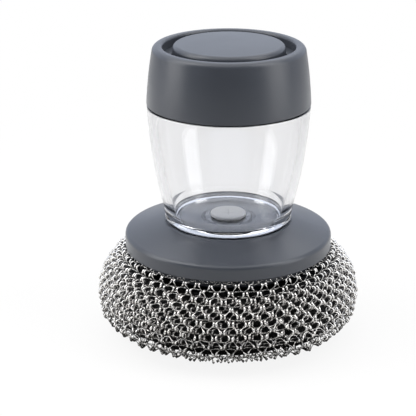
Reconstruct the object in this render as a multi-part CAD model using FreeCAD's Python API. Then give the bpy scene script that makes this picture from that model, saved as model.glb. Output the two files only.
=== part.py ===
import FreeCAD, Part
import math
import os

from FreeCAD import Vector

# Soap-dispensing scrubber: a pad of steel ring mesh under a flange, a clear soap reservoir
# screwed into the flange, and a screw cap with a push-button air pump on top.
# Millimetres, +Z up. The origin is the centre of the pad's flat underside.

# Fits shared by all pieces
running_clearance = 0.3
seat_gap = 0.1
seal_clearance = 0.05
soft_clearance = 0.3
overrun = 5.0
same_place = 0.001

# Pad of steel ring mesh
pad_radius = 40.0
pad_height = 27.65
pad_waist_share = 0.496
pad_flat_radius = 23.0
pad_shoulder_inset = 0.5
pad_shoulder_slope = 25.0
sleeve_thickness = 5.0
sleeve_fold_share = 1 / 3
sleeve_cavity_slope = 30.0
sleeve_lip_thickness = 1.5
sleeve_lip_width = 4.0
dimple_radius = 11.0
dimple_depth = 5.6
dimple_tip_radius = 1.2
dimple_tip_slope = 100.0
tail_radius = 3.6
tail_length = 5.4
wad_hole_radius = 7.0
wad_round = 3.0
wad_crown_inset = 4.0
tie_wire_radius = 0.45

# Flange that carries the pad
flange_radius = 31.95
flange_rim_height = 4.6
flange_rise = 3.7
flange_wall = 2.2
flange_corner_share = 0.25
flange_edge_round = 1.3
flange_foot_round = 0.4
seat_margin = 0.5
grip_rib_width = 2.0
hub_wall = 2.6

# Plate and screws that clamp the pad's sleeve to the flange
plate_thickness = 2.2
plate_edge_round = 0.7
drain_radius = 1.5
drain_count = 12
screw_count = 4
screw_radius = 1.4
screw_length = 7.5
screw_head_radius = 2.6
screw_head_height = 1.7
screw_drive_width = 0.7
screw_drive_length = 2.8
screw_drive_depth = 0.9
boss_wall = 1.3
boss_depth = 6.5

# Clear soap reservoir
reservoir_height = 36.75
reservoir_wall = 2.8
reservoir_floor = 1.6
reservoir_bulge = 0.93
reservoir_edge_round = 0.5
foot_radius = 19.4
foot_height = 4.6
foot_flare = 0.55
foot_edge_round = 0.4
foot_groove_level = 2.1
foot_groove_width = 0.4
foot_groove_depth = 0.3
floor_round = 1.8
neck_height = 9.7
neck_gap = 1.1
neck_wall = 1.3
neck_root = 0.8
neck_edge_round = 0.3
nipple_bore = 5.0
nipple_wall = 2.4
nipple_length = 9.2

# Quick threads: three short ribs on each side
thread_starts = 3
thread_lead = 9.0
thread_depth = 0.8
thread_root = 1.7
thread_crest = 1.2
thread_sink = 0.4
thread_play = 0.2
thread_steps_per_turn = 48
ramp_span = 80.0
lug_span = 30.0
lug_lead_in = 5.0
cap_lug_height = 1.9
hub_ramp_depth = 3.2

# Silicone slit valve in the reservoir's floor, and the seal ring on its nipple
valve_radius = 5.5
valve_thickness = 0.8
valve_neck_radius = 3.7
valve_barb_radius = 4.5
valve_barb_length = 2.2
valve_hollow_radius = 2.7
valve_dish_radius = 4.3
valve_dish_depth = 0.3
valve_bulge_share = 0.25
valve_skin = 0.4
valve_slit_width = 0.1
valve_edge_round = 0.3
nipple_ring_section = 1.6
nipple_ring_height = 0.7

# Cap with the pump
button_radius = 16.95
button_proud = 0.75
button_crown = 0.4
button_bulge_share = 0.25
button_edge_round = 1.5
button_wall = 1.8
button_roof = 2.0
button_gap = 2.95
button_travel = 4.5
cap_rim_width = 2.95
cap_wall = 1.8
cap_bulge = 0.3
cap_gap = 0.25
cap_overhang = 0.1
cap_rim_outer_round = 1.7
cap_rim_inner_round = 0.8
cap_edge_round = 0.4
recess_depth = 3.0
ledge_thickness = 2.0
piston_overhang = 1.25
piston_height = 4.0
piston_groove_depth = 1.3
piston_groove_height = 1.6
piston_groove_level = 1.2
piston_ring_lip = 0.7
pump_wall = 1.1
pump_flange_thickness = 2.0
pump_floor = 1.4
pump_room = 1.3
pump_hole_radius = 1.2
pump_hole_count = 6
gasket_thickness = 1.3

# Return spring of the button
spring_radius = 6.0
spring_wire = 0.9
spring_turns = 6
spring_end_pitch = 1.5
spring_seat_height = 2.4
spring_seat_wall = 1.0

# Radii worked outwards from the button
piston_radius = button_radius + piston_overhang
pump_bore = piston_radius + running_clearance
pump_radius = pump_bore + pump_wall
neck_bore = pump_radius + neck_gap
neck_radius = neck_bore + neck_wall
neck_thread_radius = neck_radius + thread_depth
collar_bore = neck_radius + running_clearance
cap_bore = neck_thread_radius + running_clearance
cap_radius = cap_bore + cap_wall
reservoir_radius = cap_radius - cap_overhang
opening_radius = button_radius + button_gap
cap_crown_radius = opening_radius + cap_rim_width
nipple_radius = nipple_bore + nipple_wall
nipple_thread_radius = nipple_radius + thread_depth
hub_bore = nipple_thread_radius + running_clearance
hub_radius = hub_bore + hub_wall
foot_top_radius = foot_radius + foot_flare
seat_radius = foot_radius + seat_margin
rim_bore = flange_radius - flange_wall
pad_shoulder_radius = flange_radius - pad_shoulder_inset
plate_radius = rim_bore - flange_wall - soft_clearance
plate_bore = hub_radius + running_clearance
lip_radius = plate_radius - sleeve_lip_width
boss_radius = screw_radius + seal_clearance + boss_wall
boss_circle = (hub_radius + lip_radius) / 2

# Levels worked up from the surface that the pad stands on
pad_waist = pad_height * pad_waist_share
sleeve_fold = sleeve_thickness * sleeve_fold_share
plate_top = pad_height - sleeve_lip_thickness
plate_bottom = plate_top - plate_thickness
rim_bottom = pad_height + soft_clearance
rim_top = rim_bottom + flange_rim_height
seat_level = rim_top + flange_rise
foot_level = seat_level + seat_gap
floor_level = foot_level + reservoir_floor
nipple_bottom = foot_level - nipple_length
shoulder_level = foot_level + reservoir_height
cap_bottom = shoulder_level + cap_gap
neck_top = shoulder_level + neck_height
neck_ramp_level = cap_bottom + cap_lug_height + thread_root + thread_play
neck_ramp_top = neck_ramp_level + thread_lead * ramp_span / 360 + thread_root / 2
collar_level = neck_ramp_top + running_clearance
gasket_top = neck_top + gasket_thickness
ledge_bottom = gasket_top + pump_flange_thickness
ledge_top = ledge_bottom + ledge_thickness
cap_top = ledge_top + recess_depth
button_top = cap_top + button_proud
button_ceiling = button_top - button_crown - button_roof
piston_bottom = ledge_bottom - piston_height
pump_floor_top = piston_bottom - button_travel - pump_room
pump_bottom = pump_floor_top - pump_floor

axis = Vector(0, 0, 1)
origin = Vector(0, 0, 0)


def at(radius, level):
    """A point of an outline, in the plane of the axis and +X."""
    return Vector(radius, 0, level)


def chain(*points):
    """Straight edges from each point of an outline to the next."""
    corners = [at(*point) for point in points]
    return [Part.LineSegment(a, b).toShape() for a, b in zip(corners, corners[1:])]


def bulged(start, end, bulge):
    """An arc of an outline that stands off its chord by bulge, outwards where it climbs."""
    width = end[0] - start[0]
    height = end[1] - start[1]
    chord = math.hypot(width, height)
    middle_radius = (start[0] + end[0]) / 2 + bulge * height / chord
    middle_level = (start[1] + end[1]) / 2 - bulge * width / chord
    middle = (middle_radius, middle_level)
    return [Part.Arc(at(*start), at(*middle), at(*end)).toShape()]


def tangent_arc(start, direction, end):
    """The arc from start, leaving along direction, to end."""
    chord = end - start
    along = Vector(chord).normalize()
    aside = direction - along * direction.dot(along)
    if aside.Length < same_place:
        return Part.LineSegment(start, end).toShape()
    half_turn = math.acos(max(-1.0, min(1.0, direction.dot(along))))
    middle = (start + end) / 2 + aside.normalize() * (chord.Length / 2 * math.tan(half_turn / 2))
    return Part.Arc(start, middle, end).toShape()


def biarc(start, leaving, end, arriving):
    """Two arcs that run smoothly from start to end, along the two given directions."""
    chord = end - start
    both = leaving + arriving
    spread = 2 * (1 - leaving.dot(arriving))
    reach = chord.dot(both)
    if spread < same_place:
        handle = chord.dot(chord) / (4 * chord.dot(arriving))
    else:
        handle = (math.sqrt(reach * reach + spread * chord.dot(chord)) - reach) / spread
    joint = (start + end + (leaving - arriving) * handle) / 2
    back = tangent_arc(end, arriving * -1, joint)
    return [tangent_arc(start, leaving, joint), back]


def curve(start, leaving, end, arriving):
    """A smooth stretch of an outline, with its end directions as slopes in degrees from +X."""
    ways = [Vector(math.cos(math.radians(a)), 0, math.sin(math.radians(a))) for a in (leaving, arriving)]
    return biarc(at(*start), ways[0], at(*end), ways[1])


def turned(edges):
    """The solid that a closed outline sweeps round the axis."""
    outline = Part.Wire(Part.__sortEdges__(edges))
    return Part.Face(outline).revolve(origin, axis, 360)


def tube(inner, outer, bottom, top):
    """A plain ring, or a disc where inner is zero."""
    corners = ((inner, bottom), (outer, bottom), (outer, top), (inner, top), (inner, bottom))
    return turned(chain(*corners))


def rounded(shape, size, *places):
    """The shape with its circular edges at the given radius and level rounded."""
    picked = []
    for edge in shape.Edges:
        if edge.Degenerated or not isinstance(edge.Curve, Part.Circle):
            continue
        for radius, level in places:
            near_radius = abs(edge.Curve.Radius - radius) < same_place
            if near_radius and abs(edge.Curve.Center.z - level) < same_place:
                picked.append(edge)
    return shape.makeFillet(size, picked)


def round_pattern(shape, count):
    """Copies of a shape, evenly spaced round the axis."""
    copies = []
    for index in range(count):
        copy = shape.copy()
        copy.rotate(origin, axis, 360 * index / count)
        copies.append(copy)
    return copies


def helical_rib(root, crest, level, start, span):
    """A short thread rib from root to crest, its middle at level where the angle is zero."""
    steps = math.ceil(thread_steps_per_turn * span / 360)
    sections = []
    for step in range(steps + 1):
        angle = start + span * step / steps
        height = level + thread_lead * angle / 360
        corners = [
            at(root, height - thread_root / 2),
            at(crest, height - thread_crest / 2),
            at(crest, height + thread_crest / 2),
            at(root, height + thread_root / 2),
        ]
        section = Part.makePolygon(corners + corners[:1])
        section.rotate(origin, axis, angle)
        sections.append(section)
    return Part.makeLoft(sections, True, True)


def ribs(root, crest, level, start, span):
    """One rib for each start of a quick thread."""
    return round_pattern(helical_rib(root, crest, level, start, span), thread_starts)


def push_button():
    """Palm button: a domed cup that is its own piston, with a groove for the seal ring."""
    skirt_radius = button_radius - button_wall
    groove_bottom = piston_bottom + piston_groove_level
    groove_floor = piston_radius - piston_groove_depth
    crown_level = button_top - button_crown
    edges = bulged((button_radius, crown_level), (0, button_top), button_bulge_share * button_crown)
    edges += chain(
        (0, button_top),
        (0, button_ceiling),
        (skirt_radius, button_ceiling),
        (skirt_radius, piston_bottom),
        (piston_radius, piston_bottom),
        (piston_radius, ledge_bottom),
        (button_radius, ledge_bottom),
        (button_radius, crown_level),
    )
    body = turned(edges)
    body = rounded(body, button_edge_round, (button_radius, crown_level))
    groove_top = groove_bottom + piston_groove_height
    groove = tube(groove_floor, piston_radius + overrun, groove_bottom, groove_top)
    seat_bore = spring_radius + spring_wire / 2 + running_clearance
    seat_bottom = button_ceiling - spring_seat_height
    seat = tube(seat_bore, seat_bore + spring_seat_wall, seat_bottom, button_ceiling)
    return body.cut(groove).fuse(seat).removeSplitter()


def piston_ring():
    """Silicone ring in the button's groove, with a narrow lip that wipes the pump cylinder."""
    inner = piston_radius - piston_groove_depth + seal_clearance
    outer = pump_bore - seal_clearance
    waist = piston_radius - seal_clearance
    bottom = piston_bottom + piston_groove_level + seal_clearance
    top = bottom + piston_groove_height - 2 * seal_clearance
    lip_bottom = (bottom + top - piston_ring_lip) / 2
    lip_top = lip_bottom + piston_ring_lip
    corners = (
        (inner, bottom),
        (waist, bottom),
        (outer, lip_bottom),
        (outer, lip_top),
        (waist, top),
        (inner, top),
        (inner, bottom),
    )
    return turned(chain(*corners))


def spring_height(turn):
    """Height of the spring's wire above its lower end, after so many turns."""
    free = button_ceiling - pump_floor_top - spring_wire
    middle_turns = spring_turns - 2
    middle_pitch = (free - 2 * spring_end_pitch) / middle_turns
    if turn < 1:
        return spring_end_pitch * turn
    if turn > spring_turns - 1:
        return free - spring_end_pitch * (spring_turns - turn)
    return spring_end_pitch + middle_pitch * (turn - 1)


def return_spring():
    """Steel coil between the pump's floor and the button's ceiling, one unbroken wire."""
    quarters = 4 * spring_turns
    places = []
    for quarter in range(quarters + 1):
        angle = math.pi / 2 * quarter
        level = pump_floor_top + spring_wire / 2 + spring_height(quarter / 4)
        places.append(Vector(spring_radius * math.cos(angle), spring_radius * math.sin(angle), level))
    ways = []
    for quarter in range(quarters + 1):
        angle = math.pi / 2 * quarter
        before = places[max(quarter - 1, 0)].z
        after = places[min(quarter + 1, quarters)].z
        steps = min(quarter + 1, quarters) - max(quarter - 1, 0)
        climb = (after - before) / (steps * math.pi / 2)
        way = Vector(-spring_radius * math.sin(angle), spring_radius * math.cos(angle), climb)
        ways.append(way.normalize())
    edges = []
    for quarter in range(quarters):
        edges += biarc(places[quarter], ways[quarter], places[quarter + 1], ways[quarter + 1])
    section = Part.Wire(Part.makeCircle(spring_wire / 2, places[0], ways[0]))
    coil = Part.Wire(Part.__sortEdges__(edges)).makePipeShell([section], True, False)
    turn_gaps = [places[q + 4].z - places[q].z - spring_wire for q in range(quarters - 3)]
    print("least gap between the spring's turns", round(min(turn_gaps), 3))
    return coil


def cap_shell():
    """Barrel-sided screw cap, with a ledge that guides the button and holds its piston down."""
    edges = bulged((cap_radius, cap_bottom), (cap_crown_radius, cap_top), cap_bulge)
    guide_bore = button_radius + running_clearance
    edges += chain(
        (cap_crown_radius, cap_top),
        (opening_radius, cap_top),
        (opening_radius, ledge_top),
        (guide_bore, ledge_top),
        (guide_bore, ledge_bottom),
        (collar_bore, ledge_bottom),
        (collar_bore, collar_level),
        (cap_bore, collar_level),
        (cap_bore, cap_bottom),
        (cap_radius, cap_bottom),
    )
    shell = turned(edges)
    shell = rounded(shell, cap_rim_outer_round, (cap_crown_radius, cap_top))
    shell = rounded(shell, cap_rim_inner_round, (opening_radius, cap_top))
    shell = rounded(shell, cap_edge_round, (cap_radius, cap_bottom))
    lug_crest = neck_radius + running_clearance
    lugs = ribs(cap_bore + thread_sink, lug_crest, cap_bottom + cap_lug_height, lug_lead_in, lug_span)
    return shell.fuse(lugs)


def pump_cup():
    """Pump cylinder: a cup clamped in the cap, with air holes and a spring post in its floor."""
    corners = (
        (0, pump_bottom),
        (pump_radius, pump_bottom),
        (pump_radius, gasket_top),
        (collar_bore - seat_gap, gasket_top),
        (collar_bore - seat_gap, ledge_bottom),
        (pump_bore, ledge_bottom),
        (pump_bore, pump_floor_top),
        (0, pump_floor_top),
        (0, pump_bottom),
    )
    cup = turned(chain(*corners))
    post_radius = spring_radius - spring_wire / 2 - running_clearance
    post = tube(0, post_radius, pump_bottom, pump_floor_top + spring_seat_height)
    hole_circle = (post_radius + pump_bore) / 2
    depth = pump_floor + 2 * overrun
    drill = Part.makeCylinder(pump_hole_radius, depth, at(hole_circle, pump_bottom - overrun))
    return cup.fuse(post).removeSplitter().cut(round_pattern(drill, pump_hole_count))


def cap_gasket():
    """Flat silicone ring squeezed between the reservoir's neck and the pump's flange."""
    return tube(pump_radius + seat_gap, neck_radius, neck_top, gasket_top)


def reservoir_outside():
    """The reservoir filled solid: foot, barrel body, shoulder, neck and nipple."""
    foot_top = foot_level + foot_height
    edges = chain((foot_radius, foot_level), (foot_top_radius, foot_top))
    edges += bulged((foot_top_radius, foot_top), (reservoir_radius, shoulder_level), reservoir_bulge)
    edges += chain(
        (reservoir_radius, shoulder_level),
        (neck_radius, shoulder_level),
        (neck_radius, neck_top),
        (0, neck_top),
        (0, nipple_bottom),
        (nipple_radius, nipple_bottom),
        (nipple_radius, foot_level),
        (foot_radius, foot_level),
    )
    solid = turned(edges)
    solid = rounded(solid, foot_edge_round, (foot_radius, foot_level))
    solid = rounded(solid, reservoir_edge_round, (reservoir_radius, shoulder_level))
    return rounded(solid, neck_edge_round, (neck_radius, neck_top))


def reservoir_inside():
    """The space inside the reservoir, from its floor up through the neck."""
    foot_top = foot_level + foot_height
    low_radius = foot_top_radius - reservoir_wall
    high_level = shoulder_level - neck_root
    high_radius = reservoir_radius - reservoir_wall
    floor_radius = low_radius - foot_flare * (foot_top - floor_level) / foot_height
    edges = chain((floor_radius, floor_level), (low_radius, foot_top))
    edges += bulged((low_radius, foot_top), (high_radius, high_level), reservoir_bulge)
    edges += chain(
        (high_radius, high_level),
        (neck_bore, high_level + high_radius - neck_bore),
        (neck_bore, neck_top + overrun),
        (0, neck_top + overrun),
        (0, floor_level),
        (floor_radius, floor_level),
    )
    return rounded(turned(edges), floor_round, (floor_radius, floor_level))


def foot_groove():
    """Fine groove round the outside of the reservoir's foot."""
    level = foot_level + foot_groove_level
    face = foot_radius + foot_flare * foot_groove_level / foot_height
    return tube(face - foot_groove_depth, face + overrun, level, level + foot_groove_width)


def reservoir():
    """Thick-walled clear reservoir, with neck ribs, nipple lugs and a hole for the valve."""
    body = reservoir_outside().cut([reservoir_inside(), foot_groove()])
    web_bottom = floor_level - reservoir_floor
    hole = tube(0, valve_neck_radius + seat_gap, web_bottom - overrun, floor_level + overrun)
    bore = tube(0, nipple_bore, nipple_bottom - overrun, web_bottom)
    groove_bottom = nipple_bottom + nipple_ring_height
    ring_inner = hub_bore - seal_clearance - nipple_ring_section
    groove_top = groove_bottom + nipple_ring_section + 2 * seal_clearance
    groove = tube(ring_inner - seal_clearance, nipple_radius + overrun, groove_bottom, groove_top)
    body = body.cut([hole, bore, groove])
    neck_ramps = ribs(neck_radius - thread_sink, neck_thread_radius, neck_ramp_level, 0, ramp_span)
    lug_level = seat_level - hub_ramp_depth - thread_root - thread_play
    lug_root = nipple_radius - thread_sink
    nipple_lugs = ribs(lug_root, nipple_thread_radius, lug_level, lug_lead_in, lug_span)
    return body.fuse(neck_ramps + nipple_lugs)


def slit_valve():
    """Silicone grommet in the reservoir's floor, with a cross slit through its dished skin."""
    flange_top = floor_level + valve_thickness
    neck_bottom = floor_level - reservoir_floor - seal_clearance
    barb_bottom = neck_bottom - valve_barb_length
    dish_bottom = flange_top - valve_dish_depth
    skin_bottom = dish_bottom - valve_skin
    dish_bulge = valve_bulge_share * valve_dish_depth
    dish = bulged((valve_dish_radius, flange_top), (0, dish_bottom), -dish_bulge)
    edges = dish + chain(
        (0, dish_bottom),
        (0, skin_bottom),
        (valve_hollow_radius, skin_bottom),
        (valve_hollow_radius, barb_bottom),
        (valve_neck_radius, barb_bottom),
        (valve_barb_radius, neck_bottom),
        (valve_neck_radius, neck_bottom),
        (valve_neck_radius, floor_level),
        (valve_radius, floor_level),
        (valve_radius, flange_top),
        (valve_dish_radius, flange_top),
    )
    grommet = rounded(turned(edges), valve_edge_round, (valve_radius, flange_top))
    length = 2 * valve_hollow_radius - valve_skin
    depth = flange_top - skin_bottom + 2 * overrun
    corner = Vector(-length / 2, -valve_slit_width / 2, skin_bottom - overrun)
    slit = Part.makeBox(length, valve_slit_width, depth, corner)
    return grommet.cut(round_pattern(slit, 4)[:2])


def nipple_ring():
    """Seal ring carried in the nipple's groove, running in the hub's bore."""
    middle = hub_bore - seal_clearance - nipple_ring_section / 2
    level = nipple_bottom + nipple_ring_height + seal_clearance + nipple_ring_section / 2
    return Part.makeTorus(middle, nipple_ring_section / 2, Vector(0, 0, level))


def cone_level(radius):
    """Height of the flange's upper face: flat under the reservoir, then falling to the rim."""
    fall = flange_rise / (flange_radius - seat_radius)
    return seat_level - fall * max(radius - seat_radius, 0)


def grip_rib():
    """Ring that hangs from the flange's wall and presses on the sleeve's lip."""
    middle = (lip_radius + plate_radius) / 2
    inner = middle - grip_rib_width / 2
    outer = middle + grip_rib_width / 2
    corners = (
        (inner, pad_height),
        (outer, pad_height),
        (outer, cone_level(outer) - flange_wall / 2),
        (inner, cone_level(inner) - flange_wall / 2),
        (inner, pad_height),
    )
    return turned(chain(*corners))


def base_flange():
    """Coned flange over the pad: a hollow shell with a hub, a grip rib and screw bosses."""
    roof_level = seat_level - flange_wall
    rim_ceiling = cone_level(rim_bore) - flange_wall
    edges = chain(
        (hub_bore, seat_level),
        (seat_radius, seat_level),
        (flange_radius, rim_top),
        (flange_radius, rim_bottom),
        (rim_bore, rim_bottom),
        (rim_bore, rim_ceiling),
        (seat_radius - flange_corner_share * flange_wall, roof_level),
        (hub_radius, roof_level),
        (hub_radius, plate_bottom),
        (hub_bore, plate_bottom),
        (hub_bore, seat_level),
    )
    shell = turned(edges)
    shell = rounded(shell, flange_edge_round, (flange_radius, rim_top))
    shell = rounded(shell, flange_foot_round, (flange_radius, rim_bottom))
    boss_height = roof_level + flange_wall / 2 - plate_top
    boss = Part.makeCylinder(boss_radius, boss_height, at(boss_circle, plate_top))
    ramp_level = seat_level - hub_ramp_depth
    ramp_crest = nipple_radius + running_clearance
    ramps = ribs(hub_bore + thread_sink, ramp_crest, ramp_level, 0, ramp_span)
    joined = shell.fuse([grip_rib()] + round_pattern(boss, screw_count) + ramps)
    pilot_radius = screw_radius + seal_clearance
    pilot = Part.makeCylinder(pilot_radius, boss_depth + overrun, at(boss_circle, plate_top - overrun))
    return joined.cut(round_pattern(pilot, screw_count))


def clamp_plate():
    """Round plate that pinches the sleeve's lip against the flange's grip rib."""
    plate = tube(plate_bore, plate_radius, plate_bottom, plate_top)
    plate = rounded(plate, plate_edge_round, (plate_radius, plate_top), (plate_radius, plate_bottom))
    depth = plate_thickness + 2 * overrun
    place = at(boss_circle, plate_bottom - overrun)
    screw_hole = Part.makeCylinder(screw_radius + running_clearance, depth, place)
    drain = Part.makeCylinder(drain_radius, depth, place)
    drain.rotate(origin, axis, 180 / drain_count)
    return plate.cut(round_pattern(screw_hole, screw_count) + round_pattern(drain, drain_count))


def clamp_screws():
    """Pan-head screws, driven up through the plate into the flange's bosses."""
    shank = Part.makeCylinder(screw_radius, screw_length, at(boss_circle, plate_bottom))
    head_bottom = plate_bottom - screw_head_height
    head = Part.makeCylinder(screw_head_radius, screw_head_height, at(boss_circle, head_bottom))
    rim = [e for e in head.Edges if isinstance(e.Curve, Part.Circle) and e.Curve.Center.z < plate_bottom]
    head = head.makeFillet(screw_head_height / 2, rim)
    corner = Vector(boss_circle - screw_drive_length / 2, -screw_drive_width / 2, head_bottom - overrun)
    bar = Part.makeBox(screw_drive_length, screw_drive_width, screw_drive_depth + overrun, corner)
    cross = bar.copy()
    cross.rotate(at(boss_circle, head_bottom), axis, 90)
    screw = shank.fuse(head).cut([bar, cross])
    return Part.makeCompound(round_pattern(screw, screw_count))


def outer_sleeve():
    """Ring-mesh sleeve: a flat-bottomed bun, drawn in underneath, its lip under the flange."""
    inner_radius = pad_radius - sleeve_thickness
    inner_flat = pad_flat_radius - sleeve_fold
    cavity_edge = plate_radius + soft_clearance
    cavity_top = plate_bottom - soft_clearance
    tail_top = dimple_depth + tail_length
    edges = chain((lip_radius, plate_top), (lip_radius, pad_height), (pad_shoulder_radius, pad_height))
    waist = (pad_radius, pad_waist)
    edges += curve((pad_shoulder_radius, pad_height), -pad_shoulder_slope, waist, -90)
    edges += curve(waist, -90, (pad_flat_radius, 0), 180)
    edges += chain((pad_flat_radius, 0), (dimple_radius, 0))
    tip = (dimple_tip_radius, dimple_depth)
    edges += curve((dimple_radius, 0), 180, tip, dimple_tip_slope)
    edges += chain(
        tip,
        (0, dimple_depth),
        (0, tail_top),
        (tail_radius, tail_top),
        (tail_radius, dimple_depth + sleeve_fold),
        (dimple_radius, sleeve_thickness),
        (inner_flat, sleeve_thickness),
    )
    edges += curve((inner_flat, sleeve_thickness), 0, (inner_radius, pad_waist), 90)
    edges += curve((inner_radius, pad_waist), 90, (cavity_edge, cavity_top), 180 - sleeve_cavity_slope)
    edges += chain((cavity_edge, cavity_top), (cavity_edge, plate_top), (lip_radius, plate_top))
    return turned(edges)


def inner_wad():
    """Folded ring mesh that fills the sleeve, round its drawn-in tail."""
    outer = pad_radius - sleeve_thickness - soft_clearance
    flat = pad_flat_radius - sleeve_fold
    bottom = sleeve_thickness + soft_clearance
    top = plate_bottom - screw_head_height - soft_clearance
    crown = plate_radius - wad_crown_inset
    edges = curve((flat, bottom), 0, (outer, pad_waist), 90)
    edges += curve((outer, pad_waist), 90, (crown, top), 180)
    edges += chain((crown, top), (wad_hole_radius, top), (wad_hole_radius, bottom + wad_round))
    edges += chain((wad_hole_radius, bottom + wad_round), (dimple_radius, bottom), (flat, bottom))
    return turned(edges)


def tie_wire():
    """Ring of wire round the sleeve's drawn-in tail."""
    level = dimple_depth + (tail_length + sleeve_fold) / 2
    middle = tail_radius + tie_wire_radius + seal_clearance
    return Part.makeTorus(middle, tie_wire_radius, Vector(0, 0, level))


pieces = {
    "outer_sleeve": outer_sleeve(),
    "inner_wad": inner_wad(),
    "tie_wire": tie_wire(),
    "base_flange": base_flange(),
    "clamp_plate": clamp_plate(),
    "clamp_screws": clamp_screws(),
    "nipple_ring": nipple_ring(),
    "reservoir": reservoir(),
    "slit_valve": slit_valve(),
    "cap_gasket": cap_gasket(),
    "cap_shell": cap_shell(),
    "pump_cup": pump_cup(),
    "return_spring": return_spring(),
    "push_button": push_button(),
    "piston_ring": piston_ring(),
}

os.makedirs("parts", exist_ok=True)
for node, shape in pieces.items():
    shape.exportStep("parts/" + node + ".step")
    print(node, len(shape.Solids), "solids, volume", round(shape.Volume, 1), "valid", shape.isValid())
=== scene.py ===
import math

import bmesh
import bpy
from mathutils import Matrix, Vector, geometry, noise


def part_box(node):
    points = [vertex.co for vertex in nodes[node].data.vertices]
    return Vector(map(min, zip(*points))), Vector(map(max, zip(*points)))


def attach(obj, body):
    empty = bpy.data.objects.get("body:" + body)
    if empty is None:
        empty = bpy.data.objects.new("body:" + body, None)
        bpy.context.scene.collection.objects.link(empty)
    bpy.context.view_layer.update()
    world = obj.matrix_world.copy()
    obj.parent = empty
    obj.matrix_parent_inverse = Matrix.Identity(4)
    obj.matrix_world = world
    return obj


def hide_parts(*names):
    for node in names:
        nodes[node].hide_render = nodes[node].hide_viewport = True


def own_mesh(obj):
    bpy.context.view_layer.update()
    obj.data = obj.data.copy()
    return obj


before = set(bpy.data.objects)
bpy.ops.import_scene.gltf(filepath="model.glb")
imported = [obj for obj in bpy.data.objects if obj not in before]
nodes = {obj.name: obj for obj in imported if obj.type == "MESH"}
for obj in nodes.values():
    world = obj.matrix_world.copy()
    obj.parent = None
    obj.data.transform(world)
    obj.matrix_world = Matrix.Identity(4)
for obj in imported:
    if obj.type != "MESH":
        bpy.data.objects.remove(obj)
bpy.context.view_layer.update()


# Folded wad inside the pad
# The pad is stuffed with more of its ring mesh, folded over and pressed into a bun.
# Between the rings of the sleeve only its dark hollows and a few glints show.
sleeve_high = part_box("outer_sleeve")[1]
flange_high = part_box("base_flange")[1]
pad_radius = sleeve_high.x
pad_top = sleeve_high.z
pad_waist = 0.01331
pad_foot_radius = 0.0293
pad_foot_level = 0.0030
pad_foot_slope = math.radians(5.5)
pad_sole_level = 0.0010
dimple_radius = 0.0110
dimple_tip = (0.0034, 0.0066)
tuck_inset = 0.0041
shoulder_inset = 0.0005
shoulder_slope = math.radians(-33)
full_handle_share = 0.70
deep_handle_share = 0.78
shallow_handle_share = 0.36


def pad_knots():
    """Knots of the pad's half outline, from under the flange to the drawn-in tail, with their handles."""
    slope = Vector((math.cos(shoulder_slope), 0, math.sin(shoulder_slope)))
    down = Vector((0, 0, -1))
    inward = Vector((-1, 0, 0))
    tuck = Vector((flange_high.x - tuck_inset, 0, pad_top))
    top = Vector((flange_high.x - shoulder_inset, 0, pad_top))
    waist = Vector((pad_radius, 0, pad_waist))
    foot = Vector((pad_foot_radius, 0, pad_foot_level))
    under = Vector((-math.cos(pad_foot_slope), 0, -math.sin(pad_foot_slope)))
    edge = Vector((dimple_radius, 0, pad_sole_level))
    tip = Vector((dimple_tip[0], 0, dimple_tip[1]))
    upper = (waist - top).length * shallow_handle_share
    drop = (pad_waist - pad_foot_level) * full_handle_share
    run = (pad_radius - pad_foot_radius) * deep_handle_share
    flat = (pad_foot_radius - dimple_radius) / 3
    pull = (tip - edge).length * shallow_handle_share
    return [
        (tuck, tuck, tuck.lerp(top, 1 / 3)),
        (top, top.lerp(tuck, 1 / 3), top + slope * upper),
        (waist, waist - down * upper, waist + down * drop),
        (foot, foot - under * run, foot + under * flat),
        (edge, edge - inward * flat, edge + inward * pull),
        (tip, tip + down * pull, tip),
    ]


def pad_outline(steps):
    """Points along the pad's half outline, so many on each stretch between two knots."""
    points = []
    knots = pad_knots()
    for here, there in zip(knots, knots[1:]):
        points += geometry.interpolate_bezier(here[0], here[2], there[1], there[0], steps + 1)[:-1]
    return points + [knots[-1][0]]


def add_node(tree, kind, *values, **settings):
    """A node with its settings made, and its inputs linked to sockets or set to plain values."""
    made = tree.nodes.new(kind)
    for name, value in settings.items():
        setattr(made, name, value)
    for socket, value in zip(made.inputs, values):
        if isinstance(value, bpy.types.NodeSocket):
            tree.links.new(value, socket)
        elif value is not None:
            socket.default_value = value
    return made


def maths(tree, operation, *values):
    """The result of a Math node, in a shader tree or a geometry tree."""
    return add_node(tree, "ShaderNodeMath", *values, operation=operation).outputs[0]


def ranged(tree, value, low, high, to_low, to_high):
    """A value carried from one range to another, and held at its ends."""
    return add_node(tree, "ShaderNodeMapRange", value, low, high, to_low, to_high).outputs[0]


def mixed_colour(tree, share, first, second):
    """A colour between two others, each of them a socket or a plain colour."""
    mix = tree.nodes.new("ShaderNodeMix")
    mix.data_type = "RGBA"
    sockets = {socket.identifier: socket for socket in mix.inputs}
    tree.links.new(share, sockets["Factor_Float"])
    for label, colour in (("A_Color", first), ("B_Color", second)):
        if isinstance(colour, bpy.types.NodeSocket):
            tree.links.new(colour, sockets[label])
        else:
            sockets[label].default_value = colour
    return next(socket for socket in mix.outputs if socket.identifier == "Result_Color")


def shader_group(name, inputs, outputs):
    """An empty shader group with named inputs and outputs, and the nodes at its two ends."""
    tree = bpy.data.node_groups.new(name, "ShaderNodeTree")
    for label, kind, value in inputs:
        socket = tree.interface.new_socket(label, in_out="INPUT", socket_type=kind)
        socket.default_value = value
    for label, kind in outputs:
        tree.interface.new_socket(label, in_out="OUTPUT", socket_type=kind)
    return tree, tree.nodes.new("NodeGroupInput"), tree.nodes.new("NodeGroupOutput")


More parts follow.
